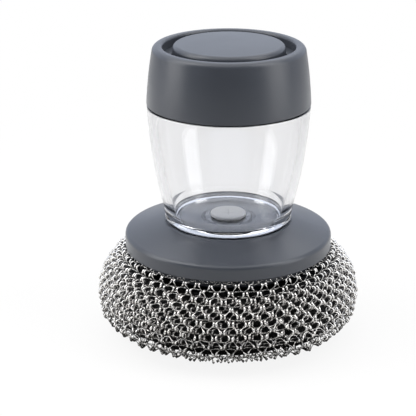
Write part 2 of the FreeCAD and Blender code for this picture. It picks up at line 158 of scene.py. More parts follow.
def material(name, colour, roughness, metallic=0.0):
    """A material with one Principled shader, and that shader."""
    made = bpy.data.materials.new(name)
    made.use_nodes = True
    shader = made.node_tree.nodes["Principled BSDF"]
    shader.inputs["Base Color"].default_value = (*colour, 1)
    shader.inputs["Roughness"].default_value = roughness
    shader.inputs["Metallic"].default_value = metallic
    made.diffuse_color = (*colour, 1)
    return made, shader


noise_low = 0.3
noise_high = 0.7


def steel_finish_group():
    """Cold-rolled steel: patches of lighter and darker metal, and roughness that goes with them."""
    tree, given, result = shader_group(
        "rolled_steel",
        [
            ("Pale", "NodeSocketColor", (0.6, 0.6, 0.6, 1)),
            ("Dark", "NodeSocketColor", (0.3, 0.3, 0.3, 1)),
            ("Patch Scale", "NodeSocketFloat", 400.0),
            ("Smoothest", "NodeSocketFloat", 0.2),
            ("Roughest", "NodeSocketFloat", 0.4),
        ],
        [("Colour", "NodeSocketColor"), ("Roughness", "NodeSocketFloat"), ("Height", "NodeSocketFloat")],
    )
    place = add_node(tree, "ShaderNodeTexCoord").outputs["Object"]
    patches = add_node(tree, "ShaderNodeTexNoise", place)
    tree.links.new(given.outputs["Patch Scale"], patches.inputs["Scale"])
    patches.inputs["Detail"].default_value = 3
    share = ranged(tree, patches.outputs[0], noise_low, noise_high, 0.0, 1.0)
    tone = mixed_colour(tree, share, given.outputs["Pale"], given.outputs["Dark"])
    rough = ranged(tree, share, 0.0, 1.0, given.outputs["Smoothest"], given.outputs["Roughest"])
    tree.links.new(tone, result.inputs["Colour"])
    tree.links.new(rough, result.inputs["Roughness"])
    tree.links.new(patches.outputs[0], result.inputs["Height"])
    return tree


rolled_steel = steel_finish_group()


def steel(name, pale, dark, smoothest, roughest, patch_scale, bump_distance):
    """Steel with the rolled finish in its own tones and at its own scale."""
    made, shader = material(name, pale, smoothest, 1.0)
    tree = made.node_tree
    finish = tree.nodes.new("ShaderNodeGroup")
    finish.node_tree = rolled_steel
    finish.inputs["Pale"].default_value = (*pale, 1)
    finish.inputs["Dark"].default_value = (*dark, 1)
    finish.inputs["Patch Scale"].default_value = patch_scale
    finish.inputs["Smoothest"].default_value = smoothest
    finish.inputs["Roughest"].default_value = roughest
    bump = tree.nodes.new("ShaderNodeBump")
    bump.inputs["Distance"].default_value = bump_distance
    tree.links.new(finish.outputs["Height"], bump.inputs["Height"])
    tree.links.new(finish.outputs["Colour"], shader.inputs["Base Color"])
    tree.links.new(finish.outputs["Roughness"], shader.inputs["Roughness"])
    tree.links.new(bump.outputs["Normal"], shader.inputs["Normal"])
    return made


def new_piece(name, mesh, finish, smooth_angle):
    """A finished piece at the origin, smooth but for edges sharper than the angle in degrees."""
    mesh.materials.clear()
    mesh.materials.append(finish)
    mesh.shade_smooth()
    mesh.set_sharp_from_angle(angle=math.radians(smooth_angle))
    piece = bpy.data.objects.new(name, mesh)
    bpy.context.scene.collection.objects.link(piece)
    return piece


wad_inset = 0.0042
wad_low_inset = 0.0015
wad_low_lump_share = 0.3
wad_segments = 144
wad_steps = 14
wad_lump_size = 0.006
wad_lump_height = 0.0016


def wad_mesh():
    """The bun inside the sleeve, lumpy, fullest near the sole, closed at the top and at the tail."""
    outline = pad_outline(wad_steps)
    built = bmesh.new()
    rings = []
    for index, point in enumerate(outline):
        before = outline[max(index - 1, 0)]
        after = outline[min(index + 1, len(outline) - 1)]
        way = (after - before).normalized()
        outward = Vector((-way.z, 0, way.x))
        rise = min(max((point.z - pad_foot_level) / (pad_waist - pad_foot_level), 0), 1)
        depth = wad_low_inset + (wad_inset - wad_low_inset) * rise
        lump_share = wad_low_lump_share + (1 - wad_low_lump_share) * rise
        ring = []
        for step in range(wad_segments):
            turn = 2 * math.pi * step / wad_segments
            spot = Vector((point.x * math.cos(turn), point.x * math.sin(turn), point.z))
            lump = noise.noise(spot / wad_lump_size) * wad_lump_height * lump_share
            inner = point + outward * (lump - depth)
            ring.append(built.verts.new((inner.x * math.cos(turn), inner.x * math.sin(turn), inner.z)))
        rings.append(ring)
    for upper, lower in zip(rings, rings[1:]):
        for step in range(wad_segments):
            following = (step + 1) % wad_segments
            built.faces.new((upper[step], lower[step], lower[following], upper[following]))
    built.faces.new(rings[0])
    built.faces.new(reversed(rings[-1]))
    bmesh.ops.recalc_face_normals(built, faces=built.faces)
    mesh = bpy.data.meshes.new("folded_wad")
    built.to_mesh(mesh)
    built.free()
    return mesh


# The wad's steel is painted nearly black: painted shade for the depths of the pad, where little light gets
# in.
wad_steel = steel(
    "folded_mesh_in_shadow",
    pale=(0.02, 0.02, 0.02),
    dark=(0.003, 0.003, 0.003),
    smoothest=0.4,
    roughest=0.6,
    patch_scale=700.0,
    bump_distance=0.0012,
)
wad = new_piece("folded_wad", wad_mesh(), wad_steel, smooth_angle=180)
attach(wad, "base")
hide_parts("inner_wad")


# Ring-mesh sleeve of the pad
# Small welded stainless rings, each linked with four others, as in mail. The sleeve is drawn over the wad,
# tucked under the flange and gathered to a dimple underneath. A second layer lies inside its wall.
ring_points = 16
wire_sides = 4
stout_from = 0.5
stout_to = 0.85
end_reach = 0.14
sway_scale = 90


def ring_mesh_tree():
    """Rows of linked rings on the surface that the object's outline curve sweeps round the axis."""
    tree = bpy.data.node_groups.new("ring_mesh", "GeometryNodeTree")
    for label, kind in (
        ("Outline", "NodeSocketGeometry"),
        ("Rings per Row", "NodeSocketInt"),
        ("Rows", "NodeSocketInt"),
        ("First Row", "NodeSocketFloat"),
        ("Row Pitch", "NodeSocketFloat"),
        ("Stretch", "NodeSocketFloat"),
        ("Stretched Rows", "NodeSocketFloat"),
        ("Waist Row", "NodeSocketFloat"),
        ("Foot Row", "NodeSocketFloat"),
        ("Lower Stretch", "NodeSocketFloat"),
        ("Ring Radius", "NodeSocketFloat"),
        ("Width Share", "NodeSocketFloat"),
        ("Height Share", "NodeSocketFloat"),
        ("Wire Radius", "NodeSocketFloat"),
        ("Thin Share", "NodeSocketFloat"),
        ("End Share", "NodeSocketFloat"),
        ("Flats", "NodeSocketFloat"),
        ("Bow", "NodeSocketFloat"),
        ("Lean", "NodeSocketFloat"),
        ("Inset", "NodeSocketFloat"),
        ("Start Turn", "NodeSocketFloat"),
        ("Sway", "NodeSocketFloat"),
        ("Unevenness", "NodeSocketFloat"),
        ("Wobble", "NodeSocketFloat"),
        ("Thinning Radius", "NodeSocketFloat"),
        ("Seed", "NodeSocketInt"),
        ("Ring Steel", "NodeSocketMaterial"),
    ):
        tree.interface.new_socket(label, in_out="INPUT", socket_type=kind)
    tree.interface.new_socket("Mesh", in_out="OUTPUT", socket_type="NodeSocketGeometry")
    given = tree.nodes.new("NodeGroupInput").outputs
    result = tree.nodes.new("NodeGroupOutput")
    rings, rows = given["Rings per Row"], given["Rows"]

    line = add_node(tree, "GeometryNodeMeshLine", maths(tree, "MULTIPLY", rings, rows))
    index = tree.nodes.new("GeometryNodeInputIndex").outputs[0]
    row = maths(tree, "FLOOR", maths(tree, "DIVIDE", maths(tree, "ADD", index, 0.5), rings))
    column = maths(tree, "SUBTRACT", index, maths(tree, "MULTIPLY", row, rings))
    odd = maths(tree, "MODULO", row, 2.0)
    place = maths(tree, "MULTIPLY_ADD", odd, 0.5, column)
    turn = maths(tree, "DIVIDE", maths(tree, "MULTIPLY", place, math.tau), rings)
    turn = maths(tree, "ADD", turn, given["Start Turn"])
    fading = maths(tree, "DIVIDE", maths(tree, "MULTIPLY", row, -1.0), given["Stretched Rows"])
    slack = maths(tree, "SUBTRACT", 1.0, maths(tree, "EXPONENT", fading))
    distance = maths(tree, "MULTIPLY_ADD", row, given["Row Pitch"], given["First Row"])
    distance = maths(tree, "MULTIPLY_ADD", slack, given["Stretch"], distance)
    drawn = ranged(tree, row, given["Waist Row"], given["Foot Row"], 0.0, given["Lower Stretch"])
    distance = maths(tree, "ADD", distance, drawn)

    sampled = tree.nodes.new("GeometryNodeSampleCurve")
    sampled.mode = "LENGTH"
    sampled.use_all_curves = True
    tree.links.new(given["Outline"], sampled.inputs["Curves"])
    tree.links.new(distance, sampled.inputs["Length"])
    spot = add_node(tree, "ShaderNodeSeparateXYZ", sampled.outputs["Position"]).outputs
    way = add_node(tree, "ShaderNodeSeparateXYZ", sampled.outputs["Tangent"]).outputs
    cosine = maths(tree, "COSINE", turn)
    sine = maths(tree, "SINE", turn)

    def placed(radius, level):
        """A vector at the turn of each ring, from a radius and a level."""
        across = maths(tree, "MULTIPLY", radius, cosine)
        back = maths(tree, "MULTIPLY", radius, sine)
        return add_node(tree, "ShaderNodeCombineXYZ", across, back, level).outputs[0]

    def moved(vector, by):
        """The sum of two vectors."""
        return add_node(tree, "ShaderNodeVectorMath", vector, by, operation="ADD").outputs[0]

    def scaled(vector, factor):
        """A vector made longer or shorter."""
        made = add_node(tree, "ShaderNodeVectorMath", vector, operation="SCALE")
        tree.links.new(factor, made.inputs["Scale"])
        return made.outputs[0]

    def chance(size, salt):
        """A random vector for each ring, of up to the size each way."""
        made = tree.nodes.new("FunctionNodeRandomValue")
        made.data_type = "FLOAT_VECTOR"
        made.inputs[0].default_value = (-1, -1, -1)
        made.inputs[1].default_value = (1, 1, 1)
        tree.links.new(maths(tree, "ADD", given["Seed"], salt), made.inputs["Seed"])
        return scaled(made.outputs[0], size)

    base = placed(spot["X"], spot["Z"])
    outward = placed(maths(tree, "MULTIPLY", way["Z"], -1.0), way["X"])
    field = tree.nodes.new("ShaderNodeTexNoise")
    field.noise_dimensions = "4D"
    tree.links.new(base, field.inputs["Vector"])
    tree.links.new(given["Seed"], field.inputs["W"])
    field.inputs["Scale"].default_value = sway_scale
    field.inputs["Detail"].default_value = 1
    swell = moved(field.outputs["Color"], (-0.5, -0.5, -0.5))
    lift = scaled(outward, maths(tree, "MULTIPLY", given["Inset"], -1.0))
    spread = moved(moved(base, lift), scaled(swell, given["Sway"]))
    spread = moved(spread, chance(given["Unevenness"], salt=1.0))
    laid = tree.nodes.new("GeometryNodeSetPosition")
    tree.links.new(line.outputs[0], laid.inputs["Geometry"])
    tree.links.new(spread, laid.inputs["Position"])

    flat = tree.nodes.new("FunctionNodeAxesToRotation")
    flat.primary_axis = "Z"
    flat.secondary_axis = "X"
    tree.links.new(outward, flat.inputs[0])
    against = maths(tree, "MULTIPLY", sine, -1.0)
    beside = add_node(tree, "ShaderNodeCombineXYZ", against, cosine, 0.0).outputs[0]
    tree.links.new(beside, flat.inputs[1])
    side = maths(tree, "MULTIPLY_ADD", odd, 2.0, -1.0)
    step = maths(tree, "ADD", maths(tree, "LESS_THAN", spot["X"], given["Thinning Radius"]), 1.0)
    half_round = maths(tree, "MULTIPLY", maths(tree, "MULTIPLY", spot["X"], step), math.pi)
    room = maths(tree, "DIVIDE", half_round, rings)
    side_reach = maths(tree, "MULTIPLY", maths(tree, "SUBTRACT", 1.0, given["Flats"]), given["Ring Radius"])
    width = maths(tree, "DIVIDE", maths(tree, "MULTIPLY", room, given["Width Share"]), side_reach)
    size = add_node(tree, "ShaderNodeCombineXYZ", width, given["Height Share"], 1.0).outputs[0]
    leaning = maths(tree, "MULTIPLY", maths(tree, "MULTIPLY", side, given["Lean"]), slack)
    tip = add_node(tree, "ShaderNodeCombineXYZ", leaning, 0.0, 0.0).outputs[0]
    euler = add_node(tree, "FunctionNodeEulerToRotation", moved(tip, chance(given["Wobble"], salt=2.0)))
    stood = tree.nodes.new("FunctionNodeRotateRotation")
    stood.rotation_space = "LOCAL"
    tree.links.new(flat.outputs[0], stood.inputs[0])
    tree.links.new(euler.outputs[0], stood.inputs[1])

    circle = tree.nodes.new("GeometryNodeCurvePrimitiveCircle")
    circle.inputs["Resolution"].default_value = ring_points
    round_share = tree.nodes.new("GeometryNodeSplineParameter").outputs["Factor"]
    angle = maths(tree, "MULTIPLY", round_share, math.tau)
    in_and_out = maths(tree, "COSINE", maths(tree, "MULTIPLY", angle, ring_points / 2))
    flats = maths(tree, "MULTIPLY", in_and_out, given["Flats"])
    reach = maths(tree, "MULTIPLY", maths(tree, "SUBTRACT", 1.0, flats), given["Ring Radius"])
    bow = maths(tree, "MULTIPLY", maths(tree, "COSINE", maths(tree, "MULTIPLY", angle, 2.0)), given["Bow"])
    bent = add_node(
        tree,
        "ShaderNodeCombineXYZ",
        maths(tree, "MULTIPLY", reach, maths(tree, "COSINE", angle)),
        maths(tree, "MULTIPLY", reach, maths(tree, "SINE", angle)),
        bow,
    ).outputs[0]
    shaped = tree.nodes.new("GeometryNodeSetPosition")
    tree.links.new(circle.outputs[0], shaped.inputs["Geometry"])
    tree.links.new(bent, shaped.inputs["Position"])
    beside_share = maths(tree, "POWER", maths(tree, "COSINE", angle), 2.0)
    stout = ranged(tree, beside_share, stout_from, stout_to, given["Thin Share"], 1.0)
    ending = ranged(tree, beside_share, 0.0, end_reach, given["End Share"], given["Thin Share"])
    thickness = maths(tree, "MAXIMUM", stout, ending)
    section = tree.nodes.new("GeometryNodeCurvePrimitiveCircle")
    section.inputs["Resolution"].default_value = wire_sides
    tree.links.new(given["Wire Radius"], section.inputs["Radius"])
    ring = add_node(tree, "GeometryNodeCurveToMesh", shaped.outputs[0], section.outputs[0], thickness)
    kept = maths(tree, "LESS_THAN", maths(tree, "MODULO", column, step), 0.5)
    linked = tree.nodes.new("GeometryNodeInstanceOnPoints")
    tree.links.new(laid.outputs[0], linked.inputs["Points"])
    tree.links.new(kept, linked.inputs["Selection"])
    tree.links.new(ring.outputs[0], linked.inputs["Instance"])
    tree.links.new(stood.outputs[0], linked.inputs["Rotation"])
    tree.links.new(size, linked.inputs["Scale"])
    whole = add_node(tree, "GeometryNodeRealizeInstances", linked.outputs[0])
    finished = add_node(tree, "GeometryNodeSetMaterial", whole.outputs[0])
    tree.links.new(given["Ring Steel"], finished.inputs["Material"])
    tree.links.new(finished.outputs[0], result.inputs[0])
    return tree


def outline_curve(name):
    """The pad's half outline as a curve object, ready for a geometry tree."""
    data = bpy.data.curves.new(name, "CURVE")
    data.dimensions = "3D"
    data.resolution_u = 24
    spline = data.splines.new("BEZIER")
    knots = pad_knots()
    spline.bezier_points.add(len(knots) - 1)
    for point, (place, left, right) in zip(spline.bezier_points, knots):
        point.handle_left_type = "FREE"
        point.handle_right_type = "FREE"
        point.co = place
        point.handle_left = left
        point.handle_right = right
    made = bpy.data.objects.new(name, data)
    bpy.context.scene.collection.objects.link(made)
    return made


def grown(holder, tree, values):
    """The plain mesh that a geometry tree makes on an object with these input values."""
    modifier = holder.modifiers.new(tree.name, "NODES")
    modifier.node_group = tree
    for item in tree.interface.items_tree:
        if item.in_out == "INPUT" and item.name in values:
            modifier[item.identifier] = values[item.name]
    depsgraph = bpy.context.evaluated_depsgraph_get()
    mesh = bpy.data.meshes.new_from_object(holder.evaluated_get(depsgraph), depsgraph=depsgraph)
    bpy.data.objects.remove(holder)
    return mesh


ring_mesh = ring_mesh_tree()
ring_steel = steel(
    "stainless_rings",
    pale=(0.88, 0.86, 0.83),
    dark=(0.55, 0.54, 0.52),
    smoothest=0.02,
    roughest=0.08,
    patch_scale=900.0,
    bump_distance=0.00002,
)
# The lining's copy of the rings' steel is painted darker: painted shade for the layer that lies deeper in
# the pad.
shaded_steel = steel(
    "stainless_rings_in_shadow",
    pale=(0.62, 0.60, 0.58),
    dark=(0.32, 0.31, 0.30),
    smoothest=0.06,
    roughest=0.16,
    patch_scale=900.0,
    bump_distance=0.00002,
)
mesh_values = {
    "Rings per Row": 52,
    "First Row": 0.0023,
    "Row Pitch": 0.00205,
    "Stretch": 0.0022,
    "Stretched Rows": 3.0,
    "Waist Row": 8.0,
    "Foot Row": 16.0,
    "Lower Stretch": 0.0065,
    "Ring Radius": 0.00182,
    "Width Share": 0.785,
    "Height Share": 0.74,
    "Wire Radius": 0.00037,
    "Thin Share": 0.33,
    "End Share": 0.6,
    "Flats": 0.038,
    "Bow": 0.0007,
    "Lean": math.radians(14),
    "Sway": 0.0008,
    "Unevenness": 0.00014,
    "Wobble": math.radians(9),
    "Thinning Radius": 0.020,
}
ring_layers = {
    "ring_mesh_sleeve": {
        "Rows": 27,
        "Inset": 0.0004,
        "Start Turn": -1.606,
        "Seed": 3,
        "Ring Steel": ring_steel,
    },
    "ring_mesh_lining": {
        "Rows": 8,
        "First Row": 0.0090,
        "Stretch": 0.0,
        "Inset": 0.0014,
        "Start Turn": -1.5758,
        "Seed": 8,
        "Ring Steel": shaded_steel,
    },
}
for layer, own in ring_layers.items():
    layer_mesh = grown(outline_curve(layer), ring_mesh, mesh_values | own)
    rings = new_piece(layer, layer_mesh, own["Ring Steel"], smooth_angle=180)
    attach(rings, "base")
    if layer == "ring_mesh_sleeve":
        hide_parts("outer_sleeve")


# Plate, screws and wire that hold the pad
# A moulded plate pinches the sleeve's lip against the flange, drawn up by four pan-head screws.
# A loop of wire holds the gathered tail inside the pad.
flow_stretch = (60, 60, 140)
flow_strength = 0.08


def moulded_skin_group():
    """Moulded plastic or rubber: a fine spark texture, faint flow marks and slightly uneven gloss."""
    tree, given, result = shader_group(
        "moulded_skin",
        [
            ("Colour", "NodeSocketColor", (0.5, 0.5, 0.5, 1)),
            ("Grain Scale", "NodeSocketFloat", 3500.0),
            ("Flow Strength", "NodeSocketFloat", 0.05),
            ("Smoothest", "NodeSocketFloat", 0.3),
            ("Roughest", "NodeSocketFloat", 0.4),
        ],
        [("Colour", "NodeSocketColor"), ("Roughness", "NodeSocketFloat"), ("Height", "NodeSocketFloat")],
    )
    place = add_node(tree, "ShaderNodeTexCoord").outputs["Object"]
    grain = add_node(tree, "ShaderNodeTexNoise", place)
    tree.links.new(given.outputs["Grain Scale"], grain.inputs["Scale"])
    grain.inputs["Detail"].default_value = 2
    flow_place = add_node(tree, "ShaderNodeMapping", place)
    flow_place.inputs["Scale"].default_value = flow_stretch
    flow = add_node(tree, "ShaderNodeTexNoise", flow_place.outputs[0])
    flow.inputs["Scale"].default_value = 1
    flow.inputs["Detail"].default_value = 4
    shade = maths(tree, "SUBTRACT", flow.outputs[0], 0.5)
    shade = maths(tree, "MULTIPLY_ADD", shade, given.outputs["Flow Strength"], 1.0)
    tint = add_node(tree, "ShaderNodeVectorMath", given.outputs["Colour"], operation="SCALE")
    tree.links.new(shade, tint.inputs["Scale"])
    gloss = given.outputs["Smoothest"], given.outputs["Roughest"]
    rough = ranged(tree, flow.outputs[0], noise_low, noise_high, *gloss)
    tree.links.new(tint.outputs[0], result.inputs["Colour"])
    tree.links.new(rough, result.inputs["Roughness"])
    tree.links.new(grain.outputs[0], result.inputs["Height"])
    return tree


moulded_skin = moulded_skin_group()


def moulding(name, colour, smoothest, roughest, grain_scale, grain_depth):
    """A moulded material with the skin group on its colour, gloss and surface."""
    made, shader = material(name, colour, smoothest)
    tree = made.node_tree
    skin = tree.nodes.new("ShaderNodeGroup")
    skin.node_tree = moulded_skin
    skin.inputs["Colour"].default_value = (*colour, 1)
    skin.inputs["Grain Scale"].default_value = grain_scale
    skin.inputs["Flow Strength"].default_value = flow_strength
    skin.inputs["Smoothest"].default_value = smoothest
    skin.inputs["Roughest"].default_value = roughest
    bump = tree.nodes.new("ShaderNodeBump")
    bump.inputs["Distance"].default_value = grain_depth
    tree.links.new(skin.outputs["Height"], bump.inputs["Height"])
    tree.links.new(skin.outputs["Colour"], shader.inputs["Base Color"])
    tree.links.new(skin.outputs["Roughness"], shader.inputs["Roughness"])
    tree.links.new(bump.outputs["Normal"], shader.inputs["Normal"])
    return made


def dress(node, finish):
    """Puts a finish on a CAD piece whose shape is right as it is."""
    data = nodes[node].data
    data.materials.clear()
    data.materials.append(finish)


slate_plastic = moulding(
    "slate_plastic",
    colour=(0.061, 0.068, 0.084),
    smoothest=0.28,
    roughest=0.34,
    grain_scale=4200.0,
    grain_depth=0.00002,
)
screw_steel = steel(
    "plated_screw_steel",
    pale=(0.62, 0.62, 0.62),
    dark=(0.45, 0.45, 0.45),
    smoothest=0.22,
    roughest=0.34,
    patch_scale=1500.0,
    bump_distance=0.00001,
)
dress("clamp_plate", slate_plastic)
dress("clamp_screws", screw_steel)
dress("tie_wire", ring_steel)


# Flange over the pad
# Satin slate moulding with a coned top, a rounded rim and a hub that takes the reservoir's nipple.
# It is screwed to the clamp plate through the mesh.
dress("base_flange", slate_plastic)


# Seal ring on the nipple
# Dark silicone ring in a groove of the nipple, squeezed in the flange's hub.
dark_silicone = moulding(
    "dark_silicone",
    colour=(0.03, 0.03, 0.033),
    smoothest=0.5,
    roughest=0.6,
    grain_scale=2500.0,
    grain_depth=0.00002,
)
dress("nipple_ring", dark_silicone)


# Soap reservoir
# Thick-walled clear vessel, moulded in one with its foot ring, neck, thread ribs and nipple.
# The walls swell slightly, and the foot is two rounded rings over a recess. It screws into the flange.
tank_low, tank_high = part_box("reservoir")
tank_radius = 0.0248
tank_foot_radius = 0.0194
tank_foot_level = 0.03635
tank_foot_height = 0.0046
tank_foot_top_radius = 0.01995
tank_shoulder_level = 0.0731
tank_wall = 0.0028
tank_floor_level = 0.03795
tank_swell = 0.00093
tank_neck_radius = 0.0220
tank_neck_bore = 0.0207
tank_neck_root = 0.0008
tank_edge_round = 0.0005
tank_foot_round = 0.0004
tank_floor_round = 0.0018
groove_level = 0.0021
groove_depth = 0.0003
ring_swell = 0.00042
recess_radius = 0.0186
recess_width = 0.0030
recess_depth = 0.0011
nipple_radius = 0.0074
nipple_bore = 0.0050
root_slit = 0.00005
root_web = 0.0002
seal_groove_radius = 0.0068
seal_groove_level = 0.02785
seal_groove_height = 0.0017
valve_hole_radius = 0.0038
valve_seat_radius = 0.0058
valve_seat_depth = 0.00005
tank_segments = 192
foot_ring_steps = 10
wall_steps = 24


def swollen(start, end, swell, steps):
    """Points after start on the arc to end, which stands off the straight line by swell at its middle."""
    start, end = Vector(start), Vector(end)
    aside = Vector((end.y - start.y, start.x - end.x)).normalized()
    points = []
    for step in range(1, steps + 1):
        share = step / steps
        points.append(tuple(start.lerp(end, share) + aside * (4 * swell * share * (1 - share))))
    return points


def softened(points, sizes, steps=5):
    """A closed outline with the named corners rounded off to the given sizes."""
    outline = []
    for index, corner in enumerate(points):
        size = sizes.get(index, 0)
        if not size:
            outline.append(corner)
            continue
        here = Vector(corner)
        before = here + (Vector(points[index - 1]) - here).normalized() * size
        after = here + (Vector(points[(index + 1) % len(points)]) - here).normalized() * size
        for step in range(steps + 1):
            share = step / steps
            outline.append(tuple(before.lerp(here, share).lerp(here.lerp(after, share), share)))
    return outline


def lathed(name, outline, segments):
    """The closed mesh that an outline of radii and levels sweeps round the axis."""
    built = bmesh.new()
    rings = []
    for radius, level in outline:
        turns = [2 * math.pi * step / segments for step in range(segments)]
        rings.append([built.verts.new((radius * math.cos(a), radius * math.sin(a), level)) for a in turns])
    for ring, following in zip(rings, rings[1:] + rings[:1]):
        for step in range(segments):
            beside = (step + 1) % segments
            built.faces.new((ring[step], ring[beside], following[beside], following[step]))
    bmesh.ops.recalc_face_normals(built, faces=built.faces)
    mesh = bpy.data.meshes.new(name)
    built.to_mesh(mesh)
    built.free()
    return mesh


def tank_outline():
    """Half section of the reservoir, outside upwards and inside downwards."""
    foot_top = tank_foot_level + tank_foot_height
    lean = (tank_foot_top_radius - tank_foot_radius) / tank_foot_height
    groove_face = tank_foot_radius + lean * groove_level
    groove_bottom = tank_foot_level + groove_level
    inner_low = tank_foot_top_radius - tank_wall
    inner_high = tank_radius - tank_wall
    inner_shoulder = tank_shoulder_level - tank_neck_root
    floor_radius = inner_low - lean * (foot_top - tank_floor_level)
    points = [
        (valve_hole_radius, tank_foot_level + root_slit),
        (nipple_radius - root_web, tank_foot_level + root_slit),
        (nipple_radius - root_web, tank_foot_level),
        (nipple_bore, tank_foot_level),
        (nipple_bore, tank_low.z),
        (nipple_radius, tank_low.z),
        (nipple_radius, seal_groove_level),
        (seal_groove_radius, seal_groove_level),
        (seal_groove_radius, seal_groove_level + seal_groove_height),
        (nipple_radius, seal_groove_level + seal_groove_height),
        (nipple_radius, tank_foot_level),
        (recess_radius - recess_width, tank_foot_level),
        (recess_radius - recess_width, tank_foot_level + recess_depth),
        (recess_radius, tank_foot_level),
        (tank_foot_radius - tank_foot_round, tank_foot_level),
    ]
    rounds = {}
    points += swollen(points[-1], (groove_face - groove_depth, groove_bottom), ring_swell, foot_ring_steps)
    points += swollen(points[-1], (tank_foot_top_radius, foot_top), ring_swell / 2, foot_ring_steps)
    points += swollen(points[-1], (tank_radius, tank_shoulder_level), tank_swell, wall_steps)
    rounds[len(points) - 1] = tank_edge_round
    points += [
        (tank_neck_radius, tank_shoulder_level),
        (tank_neck_radius, tank_high.z),
        (tank_neck_bore, tank_high.z),
        (tank_neck_bore, inner_shoulder + inner_high - tank_neck_bore),
        (inner_high, inner_shoulder),
    ]
    points += swollen(points[-1], (inner_low, foot_top), -tank_swell, wall_steps)
    points.append((floor_radius, tank_floor_level))
    rounds[len(points) - 1] = tank_floor_round
    points += [
        (valve_seat_radius, tank_floor_level),
        (valve_seat_radius, tank_floor_level - valve_seat_depth),
        (valve_hole_radius, tank_floor_level - valve_seat_depth),
    ]
    return softened(points, rounds)


thread_starts = 3
thread_lead = 0.009
thread_root_width = 0.0017
thread_crest_width = 0.0012
thread_depth = 0.0008
thread_sink = 0.0004
rib_steps = 12
neck_rib_level = 0.07715
neck_rib_span = 80
nipple_rib_level = 0.03115
nipple_rib_start = 5
nipple_rib_span = 30


def add_ribs(mesh, face_radius, level, start, span):
    """Adds the quick thread's short ribs to a round face, one for each start, with angles in degrees."""
    built = bmesh.new()
    built.from_mesh(mesh)
    root, crest = face_radius - thread_sink, face_radius + thread_depth
    for first in range(thread_starts):
        sections = []
        for step in range(rib_steps + 1):
            angle = math.radians(start + span * step / rib_steps)
            turn = angle + math.tau * first / thread_starts
            middle = level + thread_lead * angle / math.tau
            corners = (
                (root, middle - thread_root_width / 2),
                (crest, middle - thread_crest_width / 2),
                (crest, middle + thread_crest_width / 2),
                (root, middle + thread_root_width / 2),
            )
            spots = [(r * math.cos(turn), r * math.sin(turn), z) for r, z in corners]
            sections.append([built.verts.new(spot) for spot in spots])
        rib_faces = [built.faces.new(reversed(sections[0])), built.faces.new(sections[-1])]
        for here, there in zip(sections, sections[1:]):
            for corner in range(4):
                following = (corner + 1) % 4
                side = (here[corner], here[following], there[following], there[corner])
                rib_faces.append(built.faces.new(side))
        bmesh.ops.recalc_face_normals(built, faces=rib_faces)
    built.to_mesh(mesh)
    built.free()


clear_plastic, clear_shader = material("clear_plastic", colour=(1.0, 1.0, 1.0), roughness=0.01)
clear_shader.inputs["Transmission Weight"].default_value = 1.0
clear_shader.inputs["IOR"].default_value = 1.49
clear_tree = clear_plastic.node_tree
tint = clear_tree.nodes.new("ShaderNodeVolumeAbsorption")
tint.inputs["Color"].default_value = (0.69, 0.695, 0.745, 1)
tint.inputs["Density"].default_value = 50.0
clear_tree.links.new(tint.outputs[0], clear_tree.nodes["Material Output"].inputs["Volume"])
tank_mesh = lathed("clear_reservoir", tank_outline(), tank_segments)
add_ribs(tank_mesh, tank_neck_radius, neck_rib_level, start=0, span=neck_rib_span)
add_ribs(tank_mesh, nipple_radius, nipple_rib_level, start=nipple_rib_start, span=nipple_rib_span)
tank = new_piece("clear_reservoir", tank_mesh, clear_plastic, smooth_angle=30)
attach(tank, "reservoir")
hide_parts("reservoir")


# Slit valve in the reservoir's floor
# White silicone grommet, pushed through the floor.
# Its dished skin has a cross slit that lets the soap through.
white_silicone = moulding(
    "white_silicone",
    colour=(0.86, 0.87, 0.88),
    smoothest=0.4,
    roughest=0.5,
    grain_scale=2500.0,
    grain_depth=0.00001,
)
dress("slit_valve", white_silicone)


# Pump cylinder and gasket
# Natural plastic cup, clamped in the cap on a flat silicone gasket.
natural_plastic = moulding(
    "natural_plastic",
    colour=(0.68, 0.68, 0.65),
    smoothest=0.35,
    roughest=0.45,
    grain_scale=2500.0,
    grain_depth=0.00001,
)
dress("pump_cup", natural_plastic)
dress("cap_gasket", dark_silicone)


# Return spring
# Coil of round spring wire between the pump's floor and the button. The real spring shortens as the button
# is pressed; this coil is built at one length.
spring_low, spring_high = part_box("return_spring")
spring_wire = 0.0009
spring_turns = 6
spring_length = spring_high.z - spring_low.z
turn_points = 40
spring_wire_sides = 12


